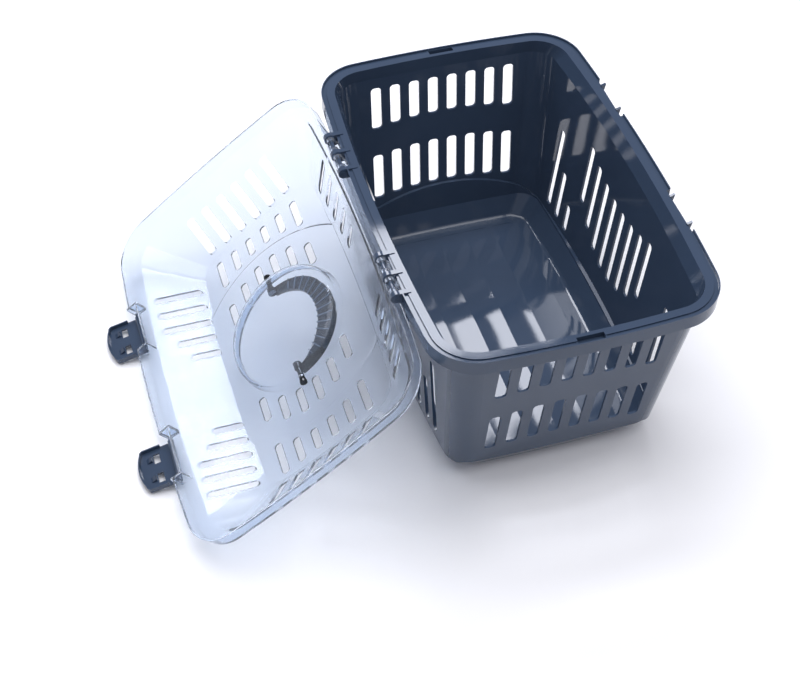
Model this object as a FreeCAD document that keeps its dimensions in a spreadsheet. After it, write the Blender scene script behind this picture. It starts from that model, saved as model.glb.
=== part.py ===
"""Top-opening carrier basket with a hinged clear lid, two snap latches and a folding handle.

The basket stands on the floor at z = 0 with its centre at the origin.  The lid is drawn closed
and then swung open about its hinge axis, with the handle and the latches on it.  +X is the
latch side and -X the hinge side.
"""
import FreeCAD
import Part
import math
import os

X = FreeCAD.Vector(1, 0, 0)
Y = FreeCAD.Vector(0, 1, 0)
Z = FreeCAD.Vector(0, 0, 1)

doc = FreeCAD.newDocument("carrier")
sheet = doc.addObject("Spreadsheet::Sheet", "Sizes")

SIZES = {
    # reach of cutting blocks: past a face, and right through the whole object
    "overcut": 5.0,
    "through": 300.0,
    # rim of the basket: a rectangle with bowed sides and round corners
    "rim_half_x": 162.6,
    "rim_half_y": 240.0,
    "rim_bow_x": 10.8,
    "rim_bow_y": 7.5,
    "rim_corner": 53.4,
    "rim_height": 243.3,
    "rim_flat": 14.1,
    "rim_skin": 2.2,
    "collar_depth": 17.0,
    "lip_width": 1.3,
    "lip_height": 1.0,
    "groove_width": 4.4,
    "groove_depth": 2.5,
    # main wall of the basket, outer face, at its two ends
    "wall": 2.4,
    "wall_low": 28.0,
    "wall_low_half_x": 131.3,
    "wall_low_half_y": 200.9,
    "wall_high": 226.0,
    "wall_high_half_x": 144.1,
    "wall_high_half_y": 227.6,
    "wall_bow_x": 12.7,
    "wall_bow_y": 3.5,
    "wall_corner": 30.0,
    # lower hull, which steps in below an arched ledge
    "ledge_top": 61.0,
    "ledge_radius": 213.0,
    "hull_mid": 28.0,
    "hull_top": 68.0,
    "foot_half_x": 107.0,
    "foot_half_y": 180.7,
    "hull_mid_half_x": 126.5,
    "hull_mid_half_y": 197.0,
    "hull_top_half_x": 129.5,
    "hull_top_half_y": 202.5,
    "hull_bow_x": 7.0,
    "hull_bow_y": 3.0,
    "hull_corner": 28.0,
    "hull_round": 8.0,
    "floor_top": 5.0,
    "floor_skin": 3.0,
    "foot_ring": 21.0,
    "foot_recess_corner": 20.0,
    "foot_rib": 6.0,
    # shallow flutes along the floor
    "flute_count": 5.0,
    "flute_radius": 430.0,
    "flute_pitch": 35.5,
    "flute_depth": 0.35,
    "flute_side": 6.0,
    "flute_end": 14.0,
    # slots of the short walls: two arched rows
    "slot_corner": 4.5,
    "short_pitch": 23.5,
    "short_width": 12.5,
    "short_arch": 7.5,
    "short_arch_at": 85.0,
    "upper_high": 213.3,
    "upper_low": 165.2,
    "lower_high": 127.9,
    "lower_low": 66.4,
    # slots of the long walls: a smiling group in the middle, three slots at each end
    "long_pitch": 23.26,
    "long_width": 10.5,
    "middle_high": 167.1,
    "middle_high_rise": 19.9,
    "middle_low": 62.0,
    "middle_low_rise": 43.5,
    "middle_at": 82.0,
    # mid-side pocket in each short rim
    "pocket_width": 29.0,
    "pocket_depth": 7.0,
    "pocket_in": 10.0,
    "pocket_out": 2.4,
    "pocket_wall": 2.0,
    # hinge
    "hinge_x": -164.8,
    "hinge_z": 237.5,
    "open_angle": 219.36,
    "ear_radius": 6.5,
    "ear_thick": 5.5,
    "ear_root_x": -150.0,
    "hinge_middle": 95.0,
    "ear_spread": 28.5,
    "pin_radius": 2.5,
    "pin_fit": 0.05,
    "pin_gap": 0.4,
    "pin_over": 1.0,
    "hinge_cut_x": -157.5,
    "hinge_cut_side": 1.5,
    "hinge_cut_depth": 24.0,
    # snap seats and barbs of the basket
    "seat_middle": 96.0,
    "seat_width": 65.0,
    "seat_x": 157.5,
    "seat_shift": 4.3,
    "seat_skin": 2.2,
    "seat_wall_height": 14.0,
    "seat_end_length": 4.25,
    "seat_inset": 0.2,
    "barb_spread": 22.0,
    "barb_thick": 3.0,
    "barb_reach": 4.5,
    "barb_root": 1.0,
    "barb_rise": 1.0,
    "barb_blunt_x": 0.6,
    "barb_blunt_z": 2.0,
    "barb_foot": 2.5,
    "barb_height": 14.3,
    # lid: skirt, shoulder, dome and panel
    "lid_gap": 0.45,
    "lid_skin": 2.0,
    "lid_half_x": 162.8,
    "lid_half_y": 239.5,
    "lid_bow_x": 11.6,
    "lid_bow_y": 6.0,
    "lid_corner": 50.7,
    "skirt_height": 16.0,
    "skirt_draft": 1.0,
    "shoulder_height": 18.5,
    "shoulder_half_x": 148.0,
    "shoulder_half_y": 227.0,
    "shoulder_corner": 42.0,
    "dome_height": 64.0,
    "panel_half_x": 95.0,
    "panel_half_y": 175.0,
    "panel_bow_x": 6.5,
    "panel_bow_y": 7.5,
    "panel_corner": 26.0,
    "lid_shift_y": 3.2,
    "panel_shift_x": -4.0,
    "lid_back_x": -157.0,
    # sunken middle of the panel and the round handle recess
    "sunk_radius": 144.0,
    "sunk_offset": 15.5,
    "sunk_depth": 2.2,
    "sunk_wall": 0.8,
    "recess_x": -3.0,
    "recess_top": 74.3,
    "recess_floor": 70.5,
    "recess_level": 45.0,
    "recess_round": 8.0,
    # slots of the lid
    "lid_slot_corner": 4.0,
    "panel_pitch": 23.8,
    "panel_slot_width": 9.8,
    "panel_slot_end": 162.0,
    "panel_arch_at": 62.0,
    "outer_row_in": 136.6,
    "outer_row_rise": 15.5,
    "inner_row_middle": 96.7,
    "inner_row_rise": 25.6,
    "inner_row_half": 16.0,
    "end_slot_shift": 0.3,
    "end_slot_width": 12.0,
    "end_slot_pitch": 24.0,
    "end_slot_in": 179.0,
    "end_slot_out": 218.0,
    "side_slot_width": 9.0,
    "latch_slot_in": 92.0,
    "hinge_slot_in": -111.5,
    "hinge_slot_out": -134.5,
    "hinge_slot_step": 2.6,
    # knuckles of the lid
    "knuckle_radius": 5.0,
    "knuckle_length": 21.0,
    "knuckle_window": 11.0,
    "link_half": 3.8,
    "link_height": 10.8,
    "plate_height": 6.8,
    "plate_thick": 4.0,
    "window_out": 8.4,
    "window_in": 3.6,
    "window_low": 6.0,
    "window_high": 6.4,
    # latches
    "latch_x": 160.2,
    "latch_w": 14.5,
    "latch_open": 65.0,
    "latch_width": 54.0,
    "latch_length": 41.5,
    "latch_thick": 2.4,
    "latch_barrel": 3.0,
    "latch_pin": 1.6,
    "latch_pin_gap": 0.3,
    "latch_pin_in": 1.5,
    "latch_bore_in": 2.0,
    "latch_face": 2.3,
    "latch_bulge": 4.5,
    "latch_corner": 5.0,
    "latch_flange": 4.5,
    "latch_flange_skin": 1.5,
    "latch_flange_top": 2.0,
    "latch_window_at": 19.5,
    "latch_hook": 3.6,
    "hook_root": 0.5,
    "hook_drop": 1.0,
    "hook_height": 8.0,
    "latch_window_x": 13.0,
    "latch_window_width": 12.5,
    "latch_window_length": 7.0,
    "notch_half": 31.0,
    "notch_wall": 3.0,
    "notch_in": 148.5,
    "notch_out": 161.9,
    "notch_height": 18.4,
    "notch_end_drop": 1.4,
    # handle
    "handle_x": 0.0,
    "handle_w": 55.0,
    "handle_outer_x": -2.5,
    "handle_outer": 63.5,
    "handle_inner": 57.5,
    "handle_inner_x": 13.0,
    "handle_low": 56.5,
    "handle_thick": 9.0,
    "handle_barrel": 4.8,
    "barrel_in": 54.5,
    "barrel_out": 61.5,
    "handle_axle": 3.0,
    "axle_gap": 0.3,
    "axle_reach": 82.4,
    "axle_bore": 90.0,
    "ring_first": 1.6,
    "ring_pitch": 1.9,
    "ring_width": 0.9,
    "ring_rise": 0.6,
    "lug_length": 2.4,
    "lug_reach": 4.2,
    "rib_count": 15.0,
    "rib_thick": 1.2,
    "rib_height": 0.8,
    "rib_root": 1.0,
    "rib_turn": 150.0,
    "grip_round": 2.0,
}

# the three slots at each end of the long walls: middle along the wall, bottom and top
LONG_END_SLOTS = ((151.2, 42.2, 156.5), (129.2, 39.1, 108.3), (105.8, 36.9, 75.6))
# outer ends of the five slots beside the latches
LATCH_SLOT_ENDS = (120.0, 128.0, 138.0, 138.0, 137.0)
# end of the lid, then first slot and pitch of the rows on its hinge side and on its latch side
LID_SIDE_ROWS = ((1, 32.0, 26.3, 40.8, 24.1), (-1, 78.0, 19.4, 71.5, 21.0))

for row, (alias, number) in enumerate(SIZES.items(), start=1):
    sheet.set("A%d" % row, alias)
    sheet.set("B%d" % row, str(number))
    sheet.setAlias("B%d" % row, alias)
doc.recompute()


def size(alias):
    """A driving dimension, read from the sheet."""
    return float(sheet.get(alias))


def bind(thing, **properties):
    """Bind properties to expressions of the sheet; a double underscore stands for a dot."""
    for name, expression in properties.items():
        thing.setExpression(name.replace("__", "."), expression)
    return thing


def feature(name, shape):
    """A document object whose shape is made by the functions below."""
    thing = doc.addObject("Part::Feature", name)
    thing.Shape = shape
    return thing


def cut(name, base, tool):
    thing = doc.addObject("Part::Cut", name)
    thing.Base = base
    thing.Tool = tool
    return thing


def fuse(name, shapes):
    thing = doc.addObject("Part::MultiFuse", name)
    thing.Shapes = shapes
    return thing


def common(name, shapes):
    thing = doc.addObject("Part::MultiCommon", name)
    thing.Shapes = shapes
    return thing


def box(name, length, width, height, x, y, z):
    """A block from its three sizes and its low corner, all expressions of the sheet."""
    thing = doc.addObject("Part::Box", name)
    bind(thing, Length=length, Width=width, Height=height)
    bind(thing, Placement__Base__x=x, Placement__Base__y=y, Placement__Base__z=z)
    return thing


def cylinder(name, radius, length, x, y, z, direction=Y):
    """A round bar that starts at x, y, z (expressions) and runs along a direction."""
    thing = doc.addObject("Part::Cylinder", name)
    thing.Placement.Rotation = FreeCAD.Rotation(Z, direction)
    bind(thing, Radius=radius, Height=length)
    bind(thing, Placement__Base__x=x, Placement__Base__y=y, Placement__Base__z=z)
    return thing


def cone(name, low_radius, high_radius, height, x, y, z):
    thing = doc.addObject("Part::Cone", name)
    bind(thing, Radius1=low_radius, Radius2=high_radius, Height=height)
    bind(thing, Placement__Base__x=x, Placement__Base__y=y, Placement__Base__z=z)
    return thing


def bowed_outline(half_x, half_y, bow_x, bow_y, corner, z, shift_x=0.0, shift_y=0.0):
    """Closed plan outline of eight tangent arcs: bowed sides, bowed ends and round corners."""
    side_radius = (half_y ** 2 + bow_x ** 2) / (2 * bow_x)
    end_radius = (half_x ** 2 + bow_y ** 2) / (2 * bow_y)
    side = FreeCAD.Vector(half_x - side_radius, 0, 0)
    end = FreeCAD.Vector(0, half_y - end_radius, 0)
    between = end - side
    span = between.Length
    along = ((side_radius - corner) ** 2 - (end_radius - corner) ** 2 + span ** 2) / (2 * span)
    across = math.sqrt((side_radius - corner) ** 2 - along ** 2)
    ahead = between / span
    centre = side + ahead * along + FreeCAD.Vector(-ahead.y, ahead.x, 0) * across
    side_touch = side + (centre - side).normalize() * side_radius
    end_touch = end + (centre - end).normalize() * end_radius
    middle = centre + (side_touch + end_touch - centre * 2).normalize() * corner

    def point(at, sign_x, sign_y):
        return FreeCAD.Vector(at.x * sign_x + shift_x, at.y * sign_y + shift_y, z)

    def arc(first, second, third):
        return Part.Arc(first, second, third).toShape()

    far_side = FreeCAD.Vector(half_x, 0, 0)
    far_end = FreeCAD.Vector(0, half_y, 0)
    edges = [
        arc(point(side_touch, 1, -1), point(far_side, 1, 1), point(side_touch, 1, 1)),
        arc(point(side_touch, 1, 1), point(middle, 1, 1), point(end_touch, 1, 1)),
        arc(point(end_touch, 1, 1), point(far_end, 1, 1), point(end_touch, -1, 1)),
        arc(point(end_touch, -1, 1), point(middle, -1, 1), point(side_touch, -1, 1)),
        arc(point(side_touch, -1, 1), point(far_side, -1, 1), point(side_touch, -1, -1)),
        arc(point(side_touch, -1, -1), point(middle, -1, -1), point(end_touch, -1, -1)),
        arc(point(end_touch, -1, -1), point(far_end, 1, -1), point(end_touch, 1, -1)),
        arc(point(end_touch, 1, -1), point(middle, 1, -1), point(side_touch, 1, -1)),
    ]
    return Part.Wire(edges)


def loft(name, sections):
    """A solid through outlines; a section lists the arguments of bowed_outline."""
    outlines = []
    for number, section in enumerate(sections):
        outlines.append(feature("%s_outline_%d" % (name, number), bowed_outline(*section)))
    thing = doc.addObject("Part::Loft", name)
    thing.Sections = outlines
    thing.Solid = True
    thing.Ruled = True
    return thing


def round_edges(name, base, radius, wanted):
    """Round the edges of a feature for which wanted(edge) holds."""
    doc.recompute()
    thing = doc.addObject("Part::Fillet", name)
    thing.Base = base
    chosen = [number for number, edge in enumerate(base.Shape.Edges, start=1) if wanted(edge)]
    thing.Edges = [(number, radius, radius) for number in chosen]
    return thing


def flat_at(z):
    """A test for edges that lie wholly at one height."""
    def lies(edge):
        return abs(edge.BoundBox.ZMin - z) < 1e-3 and abs(edge.BoundBox.ZMax - z) < 1e-3
    return lies


def along(edge, axis):
    """Whether an edge starts parallel to an axis."""
    return abs(edge.tangentAt(edge.FirstParameter).dot(axis)) > 0.999


def rounded_block(low, high, axis, corner):
    """A block between two corners, with the edges along one axis rounded."""
    extent = high - low
    block = Part.makeBox(extent.x, extent.y, extent.z, low)
    return block.makeFillet(corner, [edge for edge in block.Edges if along(edge, axis)])


# ---------------------------------------------------------------- basket

def basket_hull():
    """Outer and inner solids of the basket below the rim: main wall, arched ledge, lower hull."""
    wall = size("wall")
    solids = []
    for name, inset, arch in (("outer", 0.0, 0.0), ("inner", wall, wall)):
        main = loft("wall_" + name, [
            (size("wall_low_half_x") - inset, size("wall_low_half_y") - inset,
             size("wall_bow_x"), size("wall_bow_y"), size("wall_corner") - inset,
             size("wall_low") + arch),
            (size("wall_high_half_x") - inset, size("wall_high_half_y") - inset,
             size("wall_bow_x"), size("wall_bow_y"), size("wall_corner") - inset,
             size("wall_high")),
            (size("rim_half_x") - size("rim_flat") + wall - inset,
             size("rim_half_y") - size("rim_flat") + wall - inset,
             size("rim_bow_x"), size("rim_bow_y"),
             size("rim_corner") - size("rim_flat") + wall - inset, size("rim_height")),
        ])
        arch_round = cylinder("arch_" + name, "Sizes.ledge_radius + %g" % arch,
                              "2 * Sizes.through", "0", "-Sizes.through",
                              "Sizes.ledge_top - Sizes.ledge_radius")
        low = loft("hull_" + name, [
            (size("foot_half_x") - inset, size("foot_half_y") - inset, size("hull_bow_x"),
             size("hull_bow_y"), size("hull_corner") - inset, 0.0),
            (size("hull_mid_half_x") - inset, size("hull_mid_half_y") - inset, size("hull_bow_x"),
             size("hull_bow_y"), size("hull_corner") - inset, size("hull_mid")),
            (size("hull_top_half_x") - inset, size("hull_top_half_y") - inset, size("hull_bow_x"),
             size("hull_bow_y"), size("hull_corner") - inset, size("hull_top")),
        ])
        if name == "outer":
            low = round_edges("foot_round", low, size("hull_round"), flat_at(0.0))
        else:
            below = box("below_floor", "2 * Sizes.through", "2 * Sizes.through", "Sizes.floor_top",
                        "-Sizes.through", "-Sizes.through", "0")
            low = cut("cavity_low", low, below)
            low = round_edges("floor_round", low, size("hull_round") - wall,
                              flat_at(size("floor_top")))
        solids.append(fuse("hull_" + name + "_whole", [cut("wall_arched_" + name, main, arch_round), low]))
    return solids


def rim_ring(name, outer_inset, z_low, z_high):
    """A plate in the shape of the rim, set in from its edge."""
    section = (size("rim_half_x") - outer_inset, size("rim_half_y") - outer_inset,
               size("rim_bow_x"), size("rim_bow_y"), size("rim_corner") - outer_inset)
    return loft(name, [section + (z_low,), section + (z_high,)])


def basket_rim():
    """Hollow collar with a flat top, a groove and a thin raised lip."""
    top = size("rim_height")
    over = size("overcut")
    block = rim_ring("rim_block", 0.0, top - size("collar_depth"), top)
    channel = rim_ring("rim_channel", size("rim_skin"), top - size("collar_depth") - over,
                       top - size("groove_depth") - size("rim_skin"))
    flat = rim_ring("rim_flat_cut", size("lip_width"), top - size("lip_height"), top + over)
    groove_outer = rim_ring("groove_outer", size("lip_width"), top - size("groove_depth"),
                            top + over)
    groove_inner = rim_ring("groove_inner", size("lip_width") + size("groove_width"),
                            top - size("groove_depth") - over, top + 2 * over)
    groove = cut("groove_ring", groove_outer, groove_inner)
    return cut("rim_hollow", block, channel), [flat, groove]


def short_wall_slots():
    """Two arched rows of eight upright slots, straight through both short walls."""
    blocks = []
    half = size("short_width") / 2
    through = size("through")
    for number in range(8):
        x = (number - 3.5) * size("short_pitch")
        arch = size("short_arch") * (x / size("short_arch_at")) ** 2
        for low, high in ((size("upper_low") - arch, size("upper_high")),
                          (size("lower_low") - arch, size("lower_high") - arch)):
            blocks.append(rounded_block(FreeCAD.Vector(x - half, -through, low),
                                        FreeCAD.Vector(x + half, through, high), Y,
                                        size("slot_corner")))
    return blocks


def long_wall_slots():
    """A smiling group of eight slots and three shorter ones at each end, through both long walls."""
    spans = []
    for number in range(8):
        y = (number - 3.5) * size("long_pitch")
        share = (y / size("middle_at")) ** 2
        spans.append((y, size("middle_low") + size("middle_low_rise") * share,
                      size("middle_high") + size("middle_high_rise") * share))
    for y, low, high in LONG_END_SLOTS:
        spans += [(y, low, high), (-y, low, high)]
    half = size("long_width") / 2
    through = size("through")
    return [rounded_block(FreeCAD.Vector(-through, y - half, low),
                          FreeCAD.Vector(through, y + half, high), X, size("slot_corner"))
            for y, low, high in spans]


def hinge_ears():
    """Three ears for each hinge pin, standing out from the rim on the hinge side."""
    ears = []
    for side in (-1, 1):
        for step in (-1, 0, 1):
            name = "ear_%s_%d" % ("near" if side < 0 else "far", step + 2)
            middle = "%d * (Sizes.hinge_middle + 1 + %d * Sizes.ear_spread)" % (side, step)
            low_y = middle + " - Sizes.ear_thick / 2"
            knob = cylinder(name + "_knob", "Sizes.ear_radius", "Sizes.ear_thick",
                            "Sizes.hinge_x", low_y, "Sizes.hinge_z")
            arm = box(name + "_arm", "Sizes.ear_root_x - Sizes.hinge_x", "Sizes.ear_thick",
                      "Sizes.rim_height - Sizes.hinge_z + Sizes.ear_radius", "Sizes.hinge_x", low_y,
                      "Sizes.hinge_z - Sizes.ear_radius")
            ears += [knob, arm]
    return ears


def barb(name, y):
    """A wedge that the latch snaps over: straight back, sloping front."""
    root = size("seat_x") - size("barb_root")
    reach = size("seat_x") + size("barb_reach")
    top = size("rim_height")
    low = top - size("barb_height")
    corners = [(root, top - size("barb_rise")), (reach, top + size("barb_rise")),
               (reach - size("barb_blunt_x"), top - size("barb_blunt_z")),
               (root + size("barb_foot"), low), (root, low)]
    points = [FreeCAD.Vector(px, y - size("barb_thick") / 2, pz) for px, pz in corners]
    wedge = Part.Face(Part.makePolygon(points + points[:1])).extrude(Y * size("barb_thick"))
    return feature(name, wedge)


def foot_recess():
    """Recess under the floor, crossed by two ribs."""
    half_x = "(Sizes.foot_half_x - Sizes.foot_ring)"
    half_y = "(Sizes.foot_half_y - Sizes.foot_ring)"
    block = box("foot_recess", "2 * " + half_x, "2 * " + half_y,
                "Sizes.floor_top - Sizes.floor_skin", "-" + half_x, "-" + half_y, "0")
    recess = round_edges("foot_recess_round", block, size("foot_recess_corner"),
                         lambda edge: along(edge, Z))
    ribs = fuse("foot_ribs", [
        box("foot_rib_long", "Sizes.foot_rib", "2 * Sizes.foot_half_y", "Sizes.floor_top",
            "-Sizes.foot_rib / 2", "-Sizes.foot_half_y", "0"),
        box("foot_rib_short", "2 * Sizes.foot_half_x", "Sizes.foot_rib", "Sizes.floor_top",
            "-Sizes.foot_half_x", "-Sizes.foot_rib / 2", "0")])
    return cut("underside", recess, ribs)


def floor_flutes():
    """Shallow round flutes along the top of the floor, kept off its edges."""
    half_x = "(Sizes.foot_half_x - Sizes.flute_side)"
    half_y = "(Sizes.foot_half_y - Sizes.flute_end)"
    count = int(size("flute_count"))
    flutes = []
    for number in range(count):
        flutes.append(cylinder("flute_%d" % number, "Sizes.flute_radius", "2 * " + half_y,
                               "(%g) * Sizes.flute_pitch" % (number - (count - 1) / 2),
                               "-" + half_y,
                               "Sizes.floor_top + Sizes.flute_radius - Sizes.flute_depth"))
    zone = box("floor_zone", "2 * " + half_x, "2 * " + half_y, "Sizes.flute_depth + Sizes.floor_skin",
               "-" + half_x, "-" + half_y, "Sizes.floor_top - Sizes.flute_depth")
    return common("flute_cuts", [fuse("flutes", flutes), zone])


def snap_seats():
    """Seats cut into the collar for the latches, the walls behind them, and the barbs."""
    seats = []
    walls = []
    barbs = []
    collar_low = "Sizes.rim_height - Sizes.collar_depth"
    for side, word in ((-1, "near"), (1, "far")):
        low_y = "%d * Sizes.seat_middle + Sizes.seat_shift - Sizes.seat_width / 2" % side
        seats.append(box("seat_" + word, "4 * Sizes.overcut", "Sizes.seat_width",
                         "Sizes.collar_depth + 2 * Sizes.overcut", "Sizes.seat_x", low_y,
                         collar_low + " - Sizes.overcut"))
        walls.append(box("seat_wall_" + word, "Sizes.seat_skin + Sizes.barb_root",
                         "Sizes.seat_width + 2 * Sizes.seat_skin", "Sizes.seat_wall_height",
                         "Sizes.seat_x - Sizes.seat_skin", low_y + " - Sizes.seat_skin",
                         collar_low))
        for end, shift in ((0, "-Sizes.seat_skin"), (1, "Sizes.seat_width")):
            walls.append(box("seat_end_%s_%d" % (word, end), "Sizes.seat_end_length",
                             "Sizes.seat_skin", "Sizes.seat_wall_height",
                             "Sizes.seat_x - Sizes.seat_skin", low_y + " + " + shift, collar_low))
        for step in (-1, 1):
            barbs.append(barb("barb_%s_%d" % (word, step + 2),
                              side * size("seat_middle") + size("seat_shift")
                              + step * size("barb_spread")))
    limit = rim_ring("seat_limit", size("seat_inset"),
                     size("rim_height") - size("collar_depth") - size("overcut"),
                     size("rim_height"))
    return seats, common("seat_walls_in_rim", [fuse("seat_walls", walls), limit]), barbs


def rim_pockets():
    """A small open pocket in the middle of each short rim, and the block that walls it."""
    pockets = []
    blocks = []
    width = "Sizes.pocket_in - Sizes.pocket_out"
    block_width = "Sizes.pocket_in + Sizes.pocket_wall"
    for side, word in ((-1, "near"), (1, "far")):
        middle = "%d * (Sizes.rim_half_y - Sizes.pocket_in / 2 - Sizes.pocket_out / 2)" % side
        block_middle = "%d * (Sizes.rim_half_y - (%s) / 2 - Sizes.seat_inset)" % (side, block_width)
        pockets.append(box("pocket_" + word, "Sizes.pocket_width", width,
                           "Sizes.pocket_depth + Sizes.overcut", "-Sizes.pocket_width / 2",
                           "%s - (%s) / 2" % (middle, width),
                           "Sizes.rim_height - Sizes.pocket_depth"))
        blocks.append(box("pocket_block_" + word, "Sizes.pocket_width + 2 * Sizes.pocket_wall",
                          block_width, "Sizes.pocket_depth",
                          "-Sizes.pocket_width / 2 - Sizes.pocket_wall",
                          "%s - (%s) / 2" % (block_middle, block_width),
                          "Sizes.rim_height - Sizes.pocket_depth - Sizes.pocket_wall"))
    return pockets, fuse("pocket_blocks", blocks)


def hinge_cuts():
    """Gaps in the collar between the ears, and the bores of the ears."""
    gaps = []
    bores = []
    for side, word in ((-1, "near"), (1, "far")):
        middle = "%d * (Sizes.hinge_middle + 1)" % side
        gaps.append(box("hinge_cut_" + word, "4 * Sizes.overcut",
                        "2 * Sizes.ear_spread + 2 * Sizes.hinge_cut_side",
                        "Sizes.hinge_cut_depth + Sizes.overcut",
                        "Sizes.hinge_cut_x - 4 * Sizes.overcut",
                        middle + " - Sizes.ear_spread - Sizes.hinge_cut_side",
                        "Sizes.rim_height - Sizes.hinge_cut_depth"))
        bores.append(cylinder("pin_hole_" + word, "Sizes.pin_radius + Sizes.pin_fit",
                              "2 * Sizes.ear_spread + 4 * Sizes.overcut", "Sizes.hinge_x",
                              middle + " - Sizes.ear_spread - 2 * Sizes.overcut",
                              "Sizes.hinge_z"))
    return fuse("hinge_gaps", gaps), fuse("pin_holes", bores)


def make_basket():
    outer, inner = basket_hull()
    rim, rim_grooves = basket_rim()
    seats, seat_walls, barbs = snap_seats()
    pockets, pocket_blocks = rim_pockets()
    gaps, bores = hinge_cuts()
    body = cut("rim_seated", fuse("body_outer", [outer, rim, seat_walls]),
               fuse("rim_cuts", rim_grooves + seats))
    notched = cut("rim_notched", body, gaps)
    solid = fuse("basket_solid", [notched, pocket_blocks] + hinge_ears() + barbs)
    tools = fuse("basket_tools", [inner, foot_recess(), bores] + pockets)
    fluted = cut("basket_fluted", cut("basket_hollow", solid, tools), floor_flutes())
    slots = feature("basket_slots", Part.makeCompound(short_wall_slots() + long_wall_slots()))
    return cut("basket", fluted, slots)


def make_pins():
    """The two hinge pins, each through the three ears of its group."""
    pins = []
    for side, word in ((-1, "near"), (1, "far")):
        length = "2 * Sizes.ear_spread + Sizes.ear_thick + 2 * Sizes.pin_over"
        pins.append(cylinder("hinge_pin_" + word, "Sizes.pin_radius", length, "Sizes.hinge_x",
                             "%d * (Sizes.hinge_middle + 1) - (%s) / 2" % (side, length),
                             "Sizes.hinge_z"))
    return pins


# ---------------------------------------------------------------- lid, drawn closed

def lid_base():
    return size("rim_height") + size("lid_gap")


def lid_shell(name, inset, drop, skirt_low):
    """Skirt, sloping shoulder and dome up to the flat panel, as one solid."""
    base = lid_base()
    draft = size("skirt_draft")
    shift = size("lid_shift_y")
    return loft(name, [
        (size("lid_half_x") - inset, size("lid_half_y") - inset, size("lid_bow_x"),
         size("lid_bow_y"), size("lid_corner") - inset, base + skirt_low, 0.0, shift),
        (size("lid_half_x") - draft - inset, size("lid_half_y") - draft - inset,
         size("lid_bow_x"), size("lid_bow_y"), size("lid_corner") - draft - inset,
         base + size("skirt_height") - drop, 0.0, shift),
        (size("shoulder_half_x") - inset, size("shoulder_half_y") - inset, size("lid_bow_x"),
         size("lid_bow_y"), size("shoulder_corner") - inset,
         base + size("shoulder_height") - drop, 0.0, shift),
        (size("panel_half_x") - inset / 2, size("panel_half_y") - inset / 2, size("panel_bow_x"),
         size("panel_bow_y"), size("panel_corner") - inset / 2, base + size("dome_height") - drop,
         size("panel_shift_x"), shift),
    ])


def sunken_lens(name, depth, grow):
    """Lens between two arcs across the panel, with sloping sides, open towards the top."""
    level = "Sizes.rim_height + Sizes.lid_gap + Sizes.dome_height - %g" % depth
    height = depth + size("overcut")
    cones = []
    for side in (-1, 1):
        cones.append(cone("%s_cone_%d" % (name, side + 1),
                          "Sizes.sunk_radius - Sizes.sunk_depth + %g" % grow,
                          "Sizes.sunk_radius - Sizes.sunk_depth + %g" % (grow + height),
                          "%g" % height, "0", "%d * Sizes.sunk_offset" % side, level))
    return common(name, cones)


def recess_bowl(name, grow, top):
    """Round bowl of the handle recess, with a rounded bottom edge."""
    low = size("recess_level") - grow
    slope = (size("recess_top") - size("recess_floor")) / (size("dome_height")
                                                         - size("sunk_depth") - size("recess_level"))
    bowl = cone(name + "_cone", "Sizes.recess_floor + %g" % grow,
                "Sizes.recess_floor + %g" % (grow + slope * (top - low)), "%g" % (top - low),
                "Sizes.recess_x", "0", "Sizes.rim_height + Sizes.lid_gap + %g" % low)
    return round_edges(name, bowl, size("recess_round") + grow, flat_at(lid_base() + low))


def lid_slots():
    """All slots of the lid, cut straight down in plan."""
    low = lid_base() + size("overcut")
    high = lid_base() + size("dome_height") + size("overcut")
    blocks = []

    def add(x_low, x_high, y_low, y_high):
        blocks.append(rounded_block(FreeCAD.Vector(x_low, y_low, low),
                                    FreeCAD.Vector(x_high, y_high, high), Z,
                                    size("lid_slot_corner")))

    half = size("panel_slot_width") / 2
    end_half = size("end_slot_width") / 2
    inner_half = size("inner_row_half")
    for number in range(6):
        x = (number - 2.5) * size("panel_pitch")
        share = (x / size("panel_arch_at")) ** 2
        end_x = size("end_slot_shift") + (number - 2.5) * size("end_slot_pitch")
        outer_in = size("outer_row_in") - size("outer_row_rise") * share
        middle = size("inner_row_middle") - size("inner_row_rise") * share
        for y_in, y_out in ((outer_in, size("panel_slot_end")),
                            (middle - inner_half, middle + inner_half)):
            add(x - half, x + half, y_in, y_out)
            add(x - half, x + half, -y_out, -y_in)
        add(end_x - end_half, end_x + end_half, size("end_slot_in"), size("end_slot_out"))
        add(end_x - end_half, end_x + end_half, -size("end_slot_out"), -size("end_slot_in"))
    half = size("side_slot_width") / 2
    for side, hinge_start, hinge_pitch, latch_start, latch_pitch in LID_SIDE_ROWS:
        for number, latch_end in enumerate(LATCH_SLOT_ENDS):
            y = side * (hinge_start + number * hinge_pitch)
            inner_x = size("hinge_slot_in") + size("hinge_slot_step") * number
            add(size("hinge_slot_out"), inner_x, y - half, y + half)
            y = side * (latch_start + number * latch_pitch)
            add(size("latch_slot_in"), latch_end, y - half, y + half)
    return Part.makeCompound(blocks)


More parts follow.
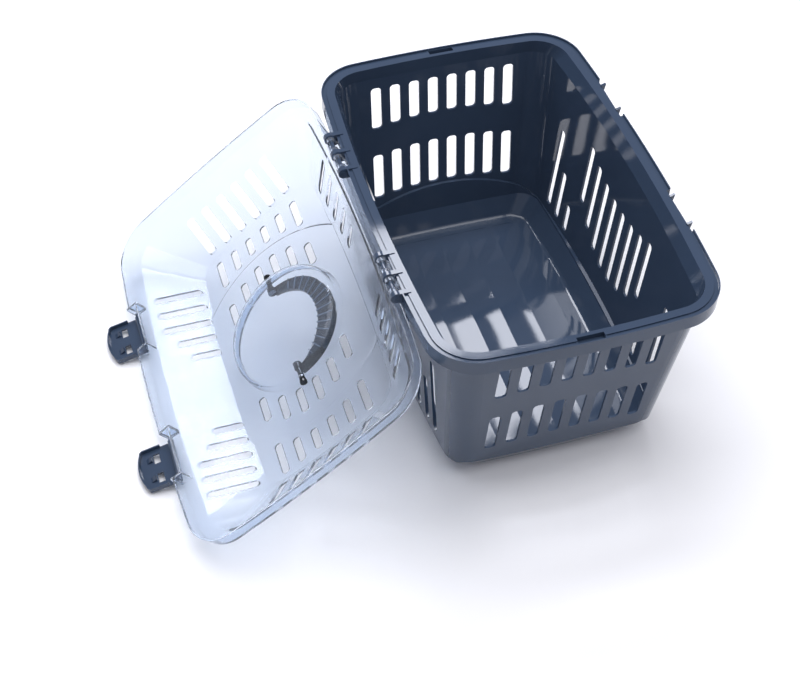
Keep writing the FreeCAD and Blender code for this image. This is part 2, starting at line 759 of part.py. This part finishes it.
def lid_knuckles():
    """Hinge knuckles: a ring about the pin, an upright link and a plate back to the skirt."""
    solids = []
    bores = []
    for side, word in ((-1, "near"), (1, "far")):
        for step in (-1, 1):
            name = "knuckle_%s_%d" % (word, step + 2)
            middle = "%d * (Sizes.hinge_middle + 1) + %d * Sizes.ear_spread / 2" % (side, step)
            low_y = middle + " - Sizes.knuckle_length / 2"
            solids += [
                cylinder(name + "_ring", "Sizes.knuckle_radius", "Sizes.knuckle_length",
                         "Sizes.hinge_x", low_y, "Sizes.hinge_z"),
                box(name + "_link", "2 * Sizes.link_half", "Sizes.knuckle_length",
                    "Sizes.link_height", "Sizes.hinge_x - Sizes.link_half", low_y,
                    "Sizes.hinge_z"),
                box(name + "_plate",
                    "Sizes.lid_back_x + Sizes.lid_skin / 2 - Sizes.hinge_x + Sizes.link_half",
                    "Sizes.knuckle_length", "Sizes.plate_thick", "Sizes.hinge_x - Sizes.link_half",
                    low_y, "Sizes.hinge_z + Sizes.plate_height"),
            ]
            bores += [
                cylinder(name + "_bore", "Sizes.pin_radius + Sizes.pin_gap",
                         "Sizes.knuckle_length + 2 * Sizes.pin_over", "Sizes.hinge_x",
                         low_y + " - Sizes.pin_over", "Sizes.hinge_z"),
                box(name + "_window", "Sizes.window_out + Sizes.window_in",
                    "Sizes.knuckle_window", "Sizes.window_low + Sizes.window_high",
                    "Sizes.hinge_x - Sizes.window_out", middle + " - Sizes.knuckle_window / 2",
                    "Sizes.hinge_z - Sizes.window_low"),
            ]
    return solids, bores


def latch_mounts():
    """Deep notches of the skirt, walled at the back and the ends, that carry the latch pins."""
    solids = []
    cuts = []
    bores = []
    level = "Sizes.rim_height + Sizes.lid_gap"
    for side, word in ((-1, "near"), (1, "far")):
        middle = "%d * Sizes.seat_middle + Sizes.seat_shift" % side
        low_y = middle + " - Sizes.notch_half"
        cuts.append(box("notch_" + word, "6 * Sizes.overcut", "2 * Sizes.notch_half",
                        "Sizes.notch_height + 2 * Sizes.overcut", "Sizes.notch_in", low_y,
                        level + " - Sizes.overcut"))
        solids.append(box("notch_back_" + word, "Sizes.lid_skin",
                          "2 * Sizes.notch_half + 2 * Sizes.notch_wall", "Sizes.notch_height",
                          "Sizes.notch_in - Sizes.lid_skin", low_y + " - Sizes.notch_wall", level))
        for end, shift in ((0, "-Sizes.notch_wall"), (1, "2 * Sizes.notch_half")):
            solids.append(box("notch_end_%s_%d" % (word, end),
                              "Sizes.notch_out - Sizes.notch_in + Sizes.lid_skin / 2",
                              "Sizes.notch_wall", "Sizes.notch_height - Sizes.notch_end_drop",
                              "Sizes.notch_in - Sizes.lid_skin / 2", low_y + " + " + shift, level))
        bores.append(cylinder("latch_bore_" + word, "Sizes.latch_pin + Sizes.latch_pin_gap",
                              "2 * Sizes.notch_half + 2 * Sizes.latch_bore_in", "Sizes.latch_x",
                              low_y + " - Sizes.latch_bore_in", level + " + Sizes.latch_w"))
    return solids, cuts, bores


def make_lid():
    skin = size("lid_skin")
    outer = lid_shell("lid_outer", 0.0, 0.0, 0.0)
    cavity = lid_shell("lid_cavity", skin, skin, -skin / 2)

    def behind(name, face_x):
        """Everything on the hinge side of a plane."""
        return box(name, "Sizes.through", "2 * Sizes.through", "Sizes.through",
                   face_x + " - Sizes.through", "-Sizes.through",
                   "Sizes.rim_height - Sizes.overcut")

    back_outer = behind("lid_back_outer", "Sizes.lid_back_x")
    back_inner = behind("lid_back_inner", "Sizes.lid_back_x + Sizes.lid_skin")
    depth = size("sunk_depth")
    lens_cut = sunken_lens("lens_cut", depth, 0.0)
    lens_wall = sunken_lens("lens_wall", depth + skin, size("sunk_wall"))
    bowl_cut = recess_bowl("bowl_cut", 0.0, size("dome_height") + size("overcut"))
    bowl_wall = recess_bowl("bowl_wall", skin, size("dome_height") - skin / 2)
    knuckles, bores = lid_knuckles()
    mounts, notches, latch_bores = latch_mounts()
    core = cut("lid_core", cavity, fuse("lid_inner_walls", [back_inner, lens_wall, bowl_wall]))
    shell = cut("lid_shell", outer, fuse("lid_outer_cuts", [back_outer, lens_cut, bowl_cut, core]))
    notched = cut("lid_notched", shell, fuse("lid_notches", notches))
    joined = fuse("lid_joined", [notched] + knuckles + mounts)
    axle_hole = cylinder("axle_hole", "Sizes.handle_axle + Sizes.axle_gap",
                         "2 * Sizes.axle_bore", "Sizes.handle_x", "-Sizes.axle_bore",
                         "Sizes.rim_height + Sizes.lid_gap + Sizes.handle_w")
    slots = feature("lid_slots", lid_slots())
    bored = cut("lid_bored", joined, fuse("lid_bores", bores + latch_bores + [axle_hole]))
    return cut("lid", bored, slots)


# ---------------------------------------------------------------- latches, drawn closed

def make_latch(side, word):
    """Tray-shaped latch: plate with a bulged free edge, inward flanges, windows and hooks."""
    middle = side * size("seat_middle") + size("seat_shift")
    axis_x = size("latch_x")
    axis_z = lid_base() + size("latch_w")
    half = size("latch_width") / 2
    face = axis_x + size("latch_face")
    thick = size("latch_thick")
    low = axis_z - size("latch_length")
    corner_z = low + size("latch_bulge")
    name = "latch_" + word

    def outline(inset):
        """Face of the plate, set in from its edge."""
        side = half - inset
        turn = half - size("latch_corner")
        blend = (size("latch_corner") - inset) * (1 - math.sqrt(0.5))
        start_z = corner_z + size("latch_corner")
        end_z = corner_z + inset
        points = [(side, axis_z), (side, start_z), (side - blend, end_z + blend), (turn, end_z),
                  (0.0, low + inset), (-turn, end_z), (blend - side, end_z + blend),
                  (-side, start_z), (-side, axis_z)]
        spots = [FreeCAD.Vector(face, middle + y, z) for y, z in points]
        edges = [Part.makeLine(spots[0], spots[1])]
        for number in (1, 3, 5):
            edges.append(Part.Arc(*spots[number:number + 3]).toShape())
        edges += [Part.makeLine(spots[7], spots[8]), Part.makeLine(spots[8], spots[0])]
        return Part.Face(Part.Wire(edges))

    depth = size("latch_flange")
    skin = size("latch_flange_skin")
    plate = outline(0.0).extrude(X * thick)
    flange = outline(0.0).extrude(X * -depth).cut(outline(skin).extrude(X * -depth))
    clear = Part.makeBox(4 * depth, 4 * half, size("latch_w"),
                         FreeCAD.Vector(face - 3 * depth, middle - 2 * half,
                                        lid_base() + size("latch_flange_top")))
    parts = [feature(name + "_plate", plate), feature(name + "_flange", flange.cut(clear))]
    parts.append(cylinder(name + "_barrel", "Sizes.latch_barrel", "Sizes.latch_width",
                          "Sizes.latch_x", "%g - Sizes.latch_width / 2" % middle, "%g" % axis_z))
    parts.append(cylinder(name + "_pin", "Sizes.latch_pin",
                          "2 * Sizes.notch_half + 2 * Sizes.latch_pin_in", "Sizes.latch_x",
                          "%g - Sizes.notch_half - Sizes.latch_pin_in" % middle, "%g" % axis_z))
    windows = []
    for step in (-1, 1):
        window_y = "%g + %d * Sizes.latch_window_x - Sizes.latch_window_width / 2" % (middle, step)
        windows.append(box("%s_window_%d" % (name, step + 2), "4 * Sizes.overcut",
                           "Sizes.latch_window_width", "Sizes.latch_window_length",
                           "Sizes.latch_x - Sizes.overcut", window_y,
                           "%g - Sizes.latch_window_at - Sizes.latch_window_length / 2" % axis_z))
        hook_top = (axis_z - size("latch_window_at") - size("latch_window_length") / 2
                    - size("hook_drop"))
        hook_root = face + size("hook_root")
        hook_y = middle + step * size("latch_window_x") - size("latch_window_width") / 4
        corners = [(hook_root, hook_top),
                   (face - size("latch_hook"), hook_top - size("hook_drop")),
                   (hook_root, hook_top - size("hook_height"))]
        spots = [FreeCAD.Vector(x, hook_y, z) for x, z in corners]
        hook = Part.Face(Part.makePolygon(spots + spots[:1]))
        parts.append(feature("%s_hook_%d" % (name, step + 2),
                             hook.extrude(Y * (size("latch_window_width") / 2))))
    return cut(name, fuse(name + "_solid", parts), fuse(name + "_windows", windows))


# ---------------------------------------------------------------- handle, drawn folded

def make_handle():
    """Crescent grip with ribs below it, on two barrels, and ribbed axles with a toe at the end."""
    base = "Sizes.rim_height + Sizes.lid_gap"
    axis = base + " + Sizes.handle_w"
    low = base + " + Sizes.handle_low"

    def crescent(name, bottom, height):
        """The plan shape of the grip, as a plate."""
        disc = cylinder(name + "_disc", "Sizes.handle_outer", height, "Sizes.handle_outer_x", "0",
                        bottom, Z)
        hole = cylinder(name + "_hole", "Sizes.handle_inner", height + " + 2 * Sizes.overcut",
                        "Sizes.handle_inner_x", "0", bottom + " - Sizes.overcut", Z)
        beyond = box(name + "_beyond", "Sizes.through", "2 * Sizes.through",
                     height + " + 2 * Sizes.overcut", "Sizes.handle_x", "-Sizes.through",
                     bottom + " - Sizes.overcut")
        return cut(name, disc, fuse(name + "_cuts", [hole, beyond]))

    grip = round_edges("grip", crescent("grip_plate", low, "Sizes.handle_thick"),
                       size("grip_round"), lambda edge: edge.Length > size("handle_inner"))
    ribs = []
    count = int(size("rib_count"))
    for number in range(count):
        rib = box("rib_%d" % number, "Sizes.handle_outer", "Sizes.rib_thick",
                  "Sizes.rib_height + Sizes.rib_root", "Sizes.handle_outer_x",
                  "-Sizes.rib_thick / 2", low + " - Sizes.rib_height")
        turn = 180 + (number - (count - 1) / 2) * size("rib_turn") / count
        rib.Placement.Rotation = FreeCAD.Rotation(Z, turn)
        ribs.append(rib)
    rib_plate = crescent("rib_plate", low + " - Sizes.rib_height",
                         "Sizes.rib_height + Sizes.rib_root")
    solids = [grip, common("grip_ribs", [rib_plate, fuse("ribs", ribs)])]
    for side, word in ((-1, "near"), (1, "far")):
        def span(near, far):
            """Low end of a stretch of the axle between two distances from the middle."""
            return "-(%s)" % far if side < 0 else near

        solids.append(cylinder("handle_barrel_" + word, "Sizes.handle_barrel",
                               "Sizes.barrel_out - Sizes.barrel_in", "Sizes.handle_x",
                               span("Sizes.barrel_in", "Sizes.barrel_out"), axis))
        solids.append(cylinder("handle_axle_" + word, "Sizes.handle_axle",
                               "Sizes.axle_reach - Sizes.barrel_in", "Sizes.handle_x",
                               span("Sizes.barrel_in", "Sizes.axle_reach"), axis))
        solids.append(cylinder("lug_" + word, "Sizes.lug_reach", "Sizes.lug_length",
                               "Sizes.handle_x", span("Sizes.axle_reach - Sizes.lug_length",
                                                      "Sizes.axle_reach"), axis))
        for number in range(2):
            place = ("Sizes.axle_reach - Sizes.lug_length - Sizes.ring_first"
                     " - %d * Sizes.ring_pitch" % number)
            solids.append(cylinder("axle_ring_%s_%d" % (word, number),
                                   "Sizes.handle_axle + Sizes.ring_rise", "Sizes.ring_width",
                                   "Sizes.handle_x", span(place, place + " + Sizes.ring_width"),
                                   axis))
    return fuse("handle", solids)


# ---------------------------------------------------------------- build, place, check, write

basket = make_basket()
pin_near, pin_far = make_pins()
lid = make_lid()
latch_near = make_latch(-1, "near")
latch_far = make_latch(1, "far")
handle = make_handle()
doc.recompute()

hinge_point = FreeCAD.Vector(size("hinge_x"), 0, size("hinge_z"))
latch_point = FreeCAD.Vector(size("latch_x"), 0, lid_base() + size("latch_w"))
lid_open = FreeCAD.Placement(FreeCAD.Vector(), FreeCAD.Rotation(Y, -size("open_angle")),
                             hinge_point)
latch_turn = FreeCAD.Placement(FreeCAD.Vector(), FreeCAD.Rotation(Y, -size("latch_open")),
                               latch_point)
lid.Placement = lid_open
handle.Placement = lid_open
latch_near.Placement = lid_open.multiply(latch_turn)
latch_far.Placement = lid_open.multiply(latch_turn)
doc.recompute()

for thing in doc.Objects:
    if "Invalid" in thing.State or "Error" in thing.State:
        raise RuntimeError("%s failed: %s" % (thing.Name, thing.State))

os.makedirs("parts", exist_ok=True)
for node in (basket, pin_near, pin_far, lid, latch_near, latch_far, handle):
    node.Label = node.Name
    shape = node.Shape
    if shape.isNull() or not shape.isValid():
        raise RuntimeError("%s has no valid shape" % node.Label)
    print(node.Label, "solids", len(shape.Solids), "volume", round(shape.Volume), shape.BoundBox)
    shape.exportStep("parts/%s.step" % node.Label)
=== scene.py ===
"""Slotted carrier basket with its clear lid hanging open, on a white studio floor."""
import bpy
import math
from mathutils import Matrix, Vector

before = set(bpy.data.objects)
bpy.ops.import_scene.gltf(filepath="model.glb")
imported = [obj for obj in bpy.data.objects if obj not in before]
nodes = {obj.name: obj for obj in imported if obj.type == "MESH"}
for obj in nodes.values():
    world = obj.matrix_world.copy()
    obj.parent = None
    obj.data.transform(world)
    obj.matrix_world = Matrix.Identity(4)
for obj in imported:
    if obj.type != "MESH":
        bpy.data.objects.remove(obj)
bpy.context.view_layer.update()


# ---------------------------------------------------------------- node helpers

def new_material(name):
    """A material with its shader; returns the material, its tree and the shader."""
    material = bpy.data.materials.new(name)
    material.use_nodes = True
    tree = material.node_tree
    return material, tree, tree.nodes["Principled BSDF"]


def add(tree, kind, **settings):
    """Add a node; a setting that names an input sets that input, any other sets a property."""
    node = tree.nodes.new(kind)
    for key, value in settings.items():
        label = key.replace("_", " ")
        if label in node.inputs:
            node.inputs[label].default_value = value
        else:
            setattr(node, key, value)
    return node


def ramp(tree, factor, low, high, at_low, at_high):
    """Colour ramp between two colours over a stretch of the factor."""
    node = tree.nodes.new("ShaderNodeValToRGB")
    node.color_ramp.elements[0].position = at_low
    node.color_ramp.elements[0].color = (*low, 1)
    node.color_ramp.elements[1].position = at_high
    node.color_ramp.elements[1].color = (*high, 1)
    tree.links.new(factor, node.inputs["Fac"])
    return node.outputs["Color"]


def noise(tree, scale, detail=3.0):
    """Object-space noise in features per metre."""
    place = add(tree, "ShaderNodeTexCoord")
    texture = add(tree, "ShaderNodeTexNoise", Scale=scale, Detail=detail)
    tree.links.new(place.outputs["Object"], texture.inputs["Vector"])
    return texture.outputs["Fac"]


def bumps(tree, shader, fields):
    """Chain bump nodes; a field is (height output, distance in metres, strength)."""
    last = None
    for height, distance, strength in fields:
        bump = add(tree, "ShaderNodeBump", Strength=strength, Distance=distance)
        tree.links.new(height, bump.inputs["Height"])
        if last:
            tree.links.new(last.outputs["Normal"], bump.inputs["Normal"])
        last = bump
    tree.links.new(last.outputs["Normal"], shader.inputs["Normal"])


def uneven(tree, socket, scale, detail, low, high):
    """Let noise vary a single value, such as roughness, between two levels."""
    shade = ramp(tree, noise(tree, scale, detail), (low,) * 3, (high,) * 3, 0.3, 0.75)
    tree.links.new(shade, socket)


# ---------------------------------------------------------------- materials

OPEN_TURN = math.radians(219.36)    # how far the lid stands open
LID_NORMAL = Vector((-math.sin(OPEN_TURN), 0, math.cos(OPEN_TURN)))    # out of the lid's top
RIB_BASE = 0.0061    # from the lowest line of the handle up to where its ribs meet the grip
BARREL_IN = 0.0550    # from the middle of the handle out to its barrels

# linear colours; each plastic is mottled between a darker and a lighter one
NAVY = ((0.036, 0.056, 0.095), (0.041, 0.063, 0.106))
BLUE = ((0.006, 0.016, 0.032), (0.009, 0.021, 0.040))
CLEAR_TINT = ((0.79, 0.86, 0.96), (0.85, 0.91, 0.99))
# painted highlight: a paler colour on the handle's ribs stands in for light caught by their edges
RIB_PAINTED_HIGHLIGHT = (0.16, 0.21, 0.28)
AXLE_COLOUR = (0.008, 0.010, 0.014)
FLOOR_WHITE = ((0.90, 0.90, 0.91), (0.93, 0.93, 0.94))


def moulded_plastic(name, colours, roughness):
    """Glossy moulded plastic: slight mottling, uneven gloss, faint flow waviness."""
    material, tree, shader = new_material(name)
    shader.inputs["IOR"].default_value = 1.5
    tree.links.new(ramp(tree, noise(tree, 9.0), *colours, 0.35, 0.7), shader.inputs["Base Color"])
    uneven(tree, shader.inputs["Roughness"], 60.0, 5.0, roughness * 0.8, roughness * 1.35)
    waviness = noise(tree, 14.0, 1.0)
    grain = noise(tree, 900.0)
    bumps(tree, shader, [(waviness, 0.0012, 0.25), (grain, 0.00004, 0.25)])
    return material


def clear_plastic():
    """Thin clear plastic, slightly milky, with a blue-grey tint."""
    material, tree, shader = new_material("clear_plastic")
    shader.inputs["IOR"].default_value = 1.28
    shader.inputs["Transmission Weight"].default_value = 0.95
    tree.links.new(ramp(tree, noise(tree, 12.0), *CLEAR_TINT, 0.3, 0.7), shader.inputs["Base Color"])
    uneven(tree, shader.inputs["Roughness"], 80.0, 4.0, 0.07, 0.14)
    waviness = noise(tree, 18.0, 1.0)
    bumps(tree, shader, [(waviness, 0.001, 0.3)])
    return material


def step_mask(tree, value, edge, blur):
    """0 below an edge and 1 above it; the step takes twice the blur."""
    node = add(tree, "ShaderNodeMapRange")
    node.inputs["From Min"].default_value = edge - blur
    node.inputs["From Max"].default_value = edge + blur
    tree.links.new(value, node.inputs["Value"])
    return node.outputs["Result"]


def mix(tree, factor, first, second):
    """Mix two colours; each is a colour or an output."""
    node = add(tree, "ShaderNodeMix", data_type="RGBA")
    sockets = {socket.identifier: socket for socket in node.inputs}
    tree.links.new(factor, sockets["Factor_Float"])
    for name, colour in (("A_Color", first), ("B_Color", second)):
        if isinstance(colour, tuple):
            sockets[name].default_value = (*colour, 1)
        else:
            tree.links.new(colour, sockets[name])
    return next(socket for socket in node.outputs if socket.identifier == "Result_Color")


def paint_handle(material):
    """Painted highlight: the ribs below the grip are painted paler, as if their edges catch the
    light; near-black barrels and axles.
    """
    tree = material.node_tree
    shader = tree.nodes["Principled BSDF"]
    body = shader.inputs["Base Color"].links[0].from_socket
    place = add(tree, "ShaderNodeTexCoord")
    depth = add(tree, "ShaderNodeVectorMath", operation="DOT_PRODUCT")
    depth.inputs[1].default_value = LID_NORMAL
    tree.links.new(place.outputs["Object"], depth.inputs[0])
    lowest = min(vertex.co.dot(LID_NORMAL) for vertex in nodes["handle"].data.vertices)
    above_ribs = step_mask(tree, depth.outputs["Value"], lowest + RIB_BASE, 0.0001)
    split = add(tree, "ShaderNodeSeparateXYZ")
    tree.links.new(place.outputs["Object"], split.inputs["Vector"])
    across = add(tree, "ShaderNodeMath", operation="ABSOLUTE")
    tree.links.new(split.outputs["Y"], across.inputs[0])
    ends = step_mask(tree, across.outputs["Value"], BARREL_IN, 0.0003)
    # painted highlight: below the rib base the ribs get the paler colour
    grip = mix(tree, above_ribs, RIB_PAINTED_HIGHLIGHT, body)
    tree.links.new(mix(tree, ends, grip, AXLE_COLOUR), shader.inputs["Base Color"])


def dress(node, material):
    """Put one material on a CAD node."""
    slots = nodes[node].data.materials
    slots.clear()
    slots.append(material)


navy = moulded_plastic("navy_plastic", NAVY, 0.04)
for node in ("basket", "hinge_pin_near", "hinge_pin_far", "latch_near", "latch_far"):
    dress(node, navy)
blue = moulded_plastic("blue_plastic", BLUE, 0.08)
paint_handle(blue)
dress("handle", blue)
dress("lid", clear_plastic())


# ---------------------------------------------------------------- floor, lights and camera

def make_floor(reach):
    """A pale matt floor that reaches the same way in all four directions."""
    material, tree, shader = new_material("floor")
    tree.links.new(ramp(tree, noise(tree, 3.0), *FLOOR_WHITE, 0.3, 0.7), shader.inputs["Base Color"])
    shader.inputs["Roughness"].default_value = 0.6
    mesh = bpy.data.meshes.new("floor")
    corners = [(-reach, -reach, 0), (reach, -reach, 0), (reach, reach, 0), (-reach, reach, 0)]
    mesh.from_pydata(corners, [], [(0, 1, 2, 3)])
    floor = bpy.data.objects.new("floor", mesh)
    floor.data.materials.append(material)
    bpy.context.collection.objects.link(floor)


def make_light(name, place, width, depth, power, colour):
    """A level soft box that shines straight down; width runs along X."""
    data = bpy.data.lights.new(name, "AREA")
    data.shape = "RECTANGLE"
    data.size = width
    data.size_y = depth
    data.energy = power
    data.color = colour
    light = bpy.data.objects.new(name, data)
    light.location = place
    bpy.context.collection.objects.link(light)


def make_world(low, high, turn_from, turn_to):
    """Studio walls of one brightness that fade to a darker ceiling between two heights."""
    world = bpy.data.worlds.new("studio")
    world.use_nodes = True
    tree = world.node_tree
    place = add(tree, "ShaderNodeTexCoord")
    split = add(tree, "ShaderNodeSeparateXYZ")
    tree.links.new(place.outputs["Generated"], split.inputs["Vector"])
    shade = ramp(tree, split.outputs["Z"], low, high, turn_from, turn_to)
    tree.links.new(shade, tree.nodes["Background"].inputs["Color"])
    bpy.context.scene.world = world


def make_camera(target, distance, azimuth, elevation, roll, lens):
    """Camera that looks at a target; azimuth 0 looks along +Y; angles in degrees, lens in mm."""
    azimuth, elevation, roll = (math.radians(angle) for angle in (azimuth, elevation, roll))
    look = Vector((math.sin(azimuth) * math.cos(elevation), math.cos(azimuth) * math.cos(elevation),
                   -math.sin(elevation)))
    side = look.cross(Vector((0, 0, 1))).normalized()
    up = side.cross(look)
    right = side * math.cos(roll) + up * math.sin(roll)
    above = up * math.cos(roll) - side * math.sin(roll)
    data = bpy.data.cameras.new("camera")
    data.lens = lens
    data.sensor_width = 36.0
    camera = bpy.data.objects.new("camera", data)
    turn = Matrix((right, above, -look)).transposed().to_4x4()
    camera.matrix_world = Matrix.Translation(Vector(target) - look * distance) @ turn
    bpy.context.collection.objects.link(camera)
    bpy.context.scene.camera = camera


make_floor(reach=6.0)
make_world(low=(0.54, 0.53, 0.56), high=(0.32, 0.33, 0.38), turn_from=0.25, turn_to=0.6)
make_light("overhead", (-0.45, 0.5, 2.5), width=2.6, depth=1.5, power=47, colour=(0.97, 0.97, 1.0))
make_light("strip", (0.0, 1.9, 2.5), width=1.84, depth=0.57, power=39, colour=(0.90, 0.92, 1.0))
make_light("fill", (0.6, -1.0, 2.5), width=2.5, depth=1.5, power=24, colour=(1.0, 0.99, 1.0))
make_camera(target=(-0.11166, 0.01803, -0.012), distance=1.78277, azimuth=18.495, elevation=48.703,
            roll=1.645, lens=67.43)
bpy.context.scene.view_settings.view_transform = "Standard"
